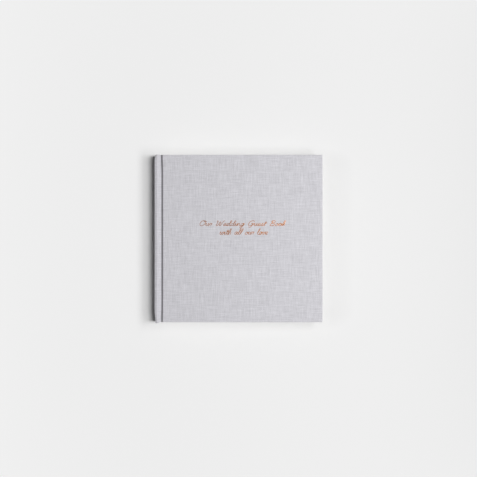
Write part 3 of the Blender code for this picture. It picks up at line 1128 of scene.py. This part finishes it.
foilShape = {
    "stroke": 0.66 * mm,
    "slant": 0.30,
    "wordGap": 0.85,
    "xHeight": 3.7 * mm,  # the most it may be
    "rise": 0.006 * mm,  # half the film's thickness
    "lift": 0.01 * mm,
}


def writeLine(words):
    # strokes of a whole line, in x-heights, and their extents; joined letters share one stroke
    strokes = []
    pen = 0.0
    for word in words.split():
        running = None
        for mark in word:
            advance, joins, parts = letters[mark]
            placed = [[(pen + x, y) for x, y in part] for part in parts]
            if running is not None:
                running += placed[0]
            else:
                running = placed[0]
                strokes.append(running)
            strokes += placed[1:]
            if not joins:
                running = None
            pen += advance
        pen += foilShape["wordGap"]
    return [[(x + foilShape["slant"] * y, y) for x, y in stroke] for stroke in strokes]


def makeFoilLine(node, name, words):
    low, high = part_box(node)
    strokes = writeLine(words)
    xs = [x for stroke in strokes for x, y in stroke]
    ys = [y for stroke in strokes for x, y in stroke]
    size = (high.x - low.x - foilShape["stroke"]) / (max(xs) - min(xs))
    tall = (high.y - low.y - foilShape["stroke"]) / (max(ys) - min(ys))
    tall = min(tall, foilShape["xHeight"])
    middle = (low + high) / 2
    deselectAll()
    curve = bpy.data.curves.new(name, "CURVE")
    curve.dimensions = "3D"
    curve.resolution_u = 5
    curve.bevel_depth = foilShape["stroke"] / 2
    curve.bevel_resolution = 1
    curve.use_fill_caps = True
    for stroke in strokes:
        spline = curve.splines.new("BEZIER")
        spline.bezier_points.add(len(stroke) - 1)
        for point, (x, y) in zip(spline.bezier_points, stroke):
            point.co = ((x - (max(xs) + min(xs)) / 2) * size, (y - (max(ys) + min(ys)) / 2) * tall, 0)
            point.handle_left_type = point.handle_right_type = "AUTO"
    line = addObject(name, curve)
    makeActive(line)
    bpy.ops.object.convert(target="MESH")
    line = bpy.context.object
    # pressed to a thin film just above the cloth
    line.scale = (1, 1, foilShape["rise"] / (foilShape["stroke"] / 2))
    line.location = (middle.x, middle.y, case["top"] + foilShape["lift"])
    applyPlace(line)
    finishPiece(line, name, copperFoil, 60)
    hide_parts(node)
    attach(line, "front_cover")


makeFoilLine("foil_line_upper", "foilUpper", "Our Wedding Guest Book")
makeFoilLine("foil_line_lower", "foilLower", "with all our love")
print("foil stamped")


# the pieces that keep their shape only take a finish
kept = {"spine_lining": endPaper, "mull": gauze}
kept.update({f"sewing_tape_{number}": cottonTape for number in (1, 2, 3)})
kept.update({f"kettle_thread_{end}": linenThread for end in ("head", "tail")})
for node, material in kept.items():
    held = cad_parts[node]
    held.data.materials.clear()
    held.data.materials.append(material)


studio = {
    "floorSize": 6,
    "floorColour": (0.724, 0.724, 0.724),
    "floorFall": (-0.479, 0.496, 0.847, 1.44),  # per metre: X, X squared, Y squared, X by Y squared
    "glow": (0.02, 0.11),  # how much is taken off at head and tail, and beside the fore-edge
    "glowFrom": (1.0, 0.88),  # share of the book's half width and half height
    "glowSide": 0.6,
    "glowReach": 45 * mm,
    "frameWidth": 633 * mm,
    "lens": 85.0,
    "sensor": 36.0,
    # far strips to the right, a bright high one and a dimmer low one, and a small lamp nearer by
    "strips": {
        "keyHigh": {"elevation": 72.5, "spread": 15.0, "away": 12.0, "width": 1.9, "power": 925.0},
        "keyLow": {"elevation": 58.0, "spread": 14.0, "away": 12.0, "width": 1.9, "power": 300.0},
        "side": {"elevation": 50.0, "spread": 12.0, "away": 0.7, "width": 0.4, "power": 1.46},
    },
    "fill": 0.10,
}


def makeStudio():
    deselectAll()
    bpy.ops.mesh.primitive_plane_add(size=studio["floorSize"], location=(0, 0, 0))
    floor = bpy.context.object
    floor.name = "floor"
    material, tree, shader = newMaterial("floorPaper", 0.9)
    where = objectPlace(tree)
    cloud = addNoise(tree, where, 3.0, 2.0)["Fac"]
    colour = studio["floorColour"]
    base = mixColours(tree, cloud, tuple(c * 0.995 for c in colour), colour)
    # the paper is toned down toward the lamps, so that it looks even
    place = partsOf(tree, where)
    linear, square, squareY, cross = studio["floorFall"]
    upward = math1(tree, "MULTIPLY_ADD", place[0], cross, squareY)
    upward = math1(tree, "MULTIPLY_ADD", math1(tree, "POWER", place[1], 2.0), upward, 1.0)
    fall = math1(tree, "MULTIPLY_ADD", place[0], square, linear)
    fall = math1(tree, "MULTIPLY_ADD", place[0], fall, upward)
    base = shadeBy(tree, base, fall)
    # and once more beside the fore-edge, which throws light back on it
    bookX, bookY = cadBox[1][0], cadBox[1][1]
    beside = []
    for place1, edge in zip(place, (bookX * studio["glowFrom"][0], bookY * studio["glowFrom"][1])):
        off = math1(tree, "SUBTRACT", math1(tree, "ABSOLUTE", place1), edge)
        beside.append(math1(tree, "POWER", math1(tree, "MAXIMUM", off, 0.0), 2.0))
    far = math1(tree, "SQRT", math1(tree, "MULTIPLY_ADD", beside[1], 3.0, beside[0]))
    near = remap(tree, far, 0.0, studio["glowReach"], 1.0, 0.0)
    side = remap(tree, place[0], bookX * studio["glowSide"], bookX, *studio["glow"])
    base = shadeBy(tree, base, math1(tree, "SUBTRACT", 1.0, times(tree, near, side)))
    tree.links.new(base, shader.inputs["Base Color"])
    shader.inputs["Specular IOR Level"].default_value = 0.1
    floor.data.materials.append(material)

    for name, strip in studio["strips"].items():
        angle = math.radians(strip["elevation"])
        light = bpy.data.lights.new(name, "AREA")
        light.shape = "RECTANGLE"
        light.size = 2 * strip["away"] * math.tan(math.radians(strip["spread"] / 2))
        light.size_y = strip["width"]
        light.energy = strip["power"]
        lamp = addObject(name, light)
        toward = Vector((math.cos(angle), 0, math.sin(angle)))
        lamp.location = Vector((case["spineX"], 0, 0)) + toward * strip["away"]
        # its length lies in the plane of X and Z, square to the way it shines
        lamp.rotation_euler = (0, math.pi / 2 - angle, 0)

    world = bpy.data.worlds.new("studio")
    bpy.context.scene.world = world
    world.use_nodes = True
    background = world.node_tree.nodes["Background"].inputs
    background["Color"].default_value = (1.0, 1.0, 1.0, 1.0)
    background["Strength"].default_value = studio["fill"]

    view = bpy.data.cameras.new("camera")
    view.lens = studio["lens"]
    view.sensor_width = studio["sensor"]
    camera = addObject("camera", view)
    away = studio["frameWidth"] * studio["lens"] / studio["sensor"]
    camera.location = (0, 0, case["top"] + away)
    bpy.context.scene.camera = camera


makeStudio()
print("studio set")
